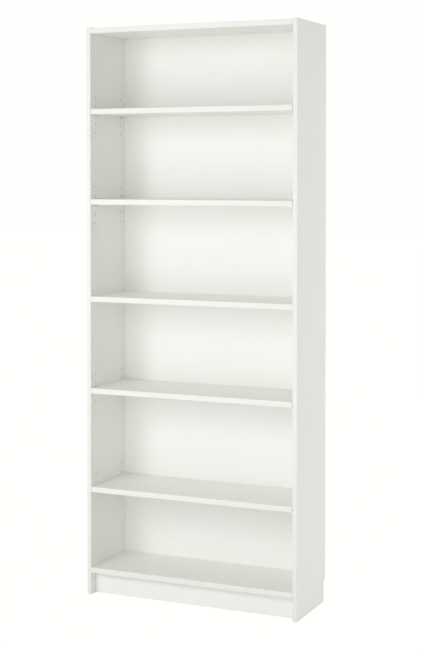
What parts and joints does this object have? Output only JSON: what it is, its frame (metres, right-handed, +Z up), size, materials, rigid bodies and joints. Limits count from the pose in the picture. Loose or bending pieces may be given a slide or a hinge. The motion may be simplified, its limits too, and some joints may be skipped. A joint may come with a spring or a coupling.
{
  "type": "bookcase with adjustable shelves",
  "caption": "Tall narrow open bookcase with a fixed middle shelf, adjustable shelves on pins, a plinth and a closed back.",
  "frame": {"origin": "on the floor, under the middle of the case's width and depth", "axes": "+X to the viewer's right when facing the open front, +Y towards the wall behind, +Z up"},
  "size_m": [0.8, 0.28, 2.02],
  "materials": {
    "white_foil": "white foil on particleboard, satin",
    "white_hardboard": "white lacquer on the front of thin hardboard, bare brown board behind",
    "nickel_steel": "nickel plated",
    "zinc_casting": "plain zinc die casting",
    "beech": "bare fluted beech"
  },
  "bodies": {
    "case": {"side_panel_left": "white_foil", "side_panel_right": "white_foil", "top_panel": "white_foil", "fixed_shelf": "white_foil", "bottom_panel": "white_foil", "plinth": "white_foil", "back_panel": "white_hardboard", "shelf_pin_1_left_front": "nickel_steel", "shelf_pin_1_left_rear": "nickel_steel", "shelf_pin_1_right_front": "nickel_steel", "shelf_pin_1_right_rear": "nickel_steel", "shelf_pin_2_left_front": "nickel_steel", "shelf_pin_2_left_rear": "nickel_steel", "shelf_pin_2_right_front": "nickel_steel", "shelf_pin_2_right_rear": "nickel_steel", "shelf_pin_3_left_front": "nickel_steel", "shelf_pin_3_left_rear": "nickel_steel", "shelf_pin_3_right_front": "nickel_steel", "shelf_pin_3_right_rear": "nickel_steel", "shelf_pin_4_left_front": "nickel_steel", "shelf_pin_4_left_rear": "nickel_steel", "shelf_pin_4_right_front": "nickel_steel", "shelf_pin_4_right_rear": "nickel_steel", "cam_bolt_top_left_front": "nickel_steel", "cam_bolt_top_left_rear": "nickel_steel", "cam_bolt_top_right_front": "nickel_steel", "cam_bolt_top_right_rear": "nickel_steel", "cam_bolt_fixed_left_front": "nickel_steel", "cam_bolt_fixed_left_rear": "nickel_steel", "cam_bolt_fixed_right_front": "nickel_steel", "cam_bolt_fixed_right_rear": "nickel_steel", "cam_bolt_bottom_left_front": "nickel_steel", "cam_bolt_bottom_left_rear": "nickel_steel", "cam_bolt_bottom_right_front": "nickel_steel", "cam_bolt_bottom_right_rear": "nickel_steel", "cam_lock_top_left_front": "zinc_casting", "cam_lock_top_left_rear": "zinc_casting", "cam_lock_top_right_front": "zinc_casting", "cam_lock_top_right_rear": "zinc_casting", "cam_lock_fixed_left_front": "zinc_casting", "cam_lock_fixed_left_rear": "zinc_casting", "cam_lock_fixed_right_front": "zinc_casting", "cam_lock_fixed_right_rear": "zinc_casting", "cam_lock_bottom_left_front": "zinc_casting", "cam_lock_bottom_left_rear": "zinc_casting", "cam_lock_bottom_right_front": "zinc_casting", "cam_lock_bottom_right_rear": "zinc_casting", "plinth_dowel_left_lower": "beech", "plinth_dowel_left_upper": "beech", "plinth_dowel_right_lower": "beech", "plinth_dowel_right_upper": "beech"},
    "shelf_1": {"adjustable_shelf_1": "white_foil"},
    "shelf_2": {"adjustable_shelf_2": "white_foil"},
    "shelf_3": {"adjustable_shelf_3": "white_foil"},
    "shelf_4": {"adjustable_shelf_4": "white_foil"}
  },
  "joints": [
    {"name": "shelf_1_slide", "type": "slide", "parent": "case", "child": "shelf_1", "axis": [0, -1, 0], "range_m": [0, 0.218]},
    {"name": "shelf_2_slide", "type": "slide", "parent": "case", "child": "shelf_2", "axis": [0, -1, 0], "range_m": [0, 0.218]},
    {"name": "shelf_3_slide", "type": "slide", "parent": "case", "child": "shelf_3", "axis": [0, -1, 0], "range_m": [0, 0.218]},
    {"name": "shelf_4_slide", "type": "slide", "parent": "case", "child": "shelf_4", "axis": [0, -1, 0], "range_m": [0, 0.218]}
  ]
}
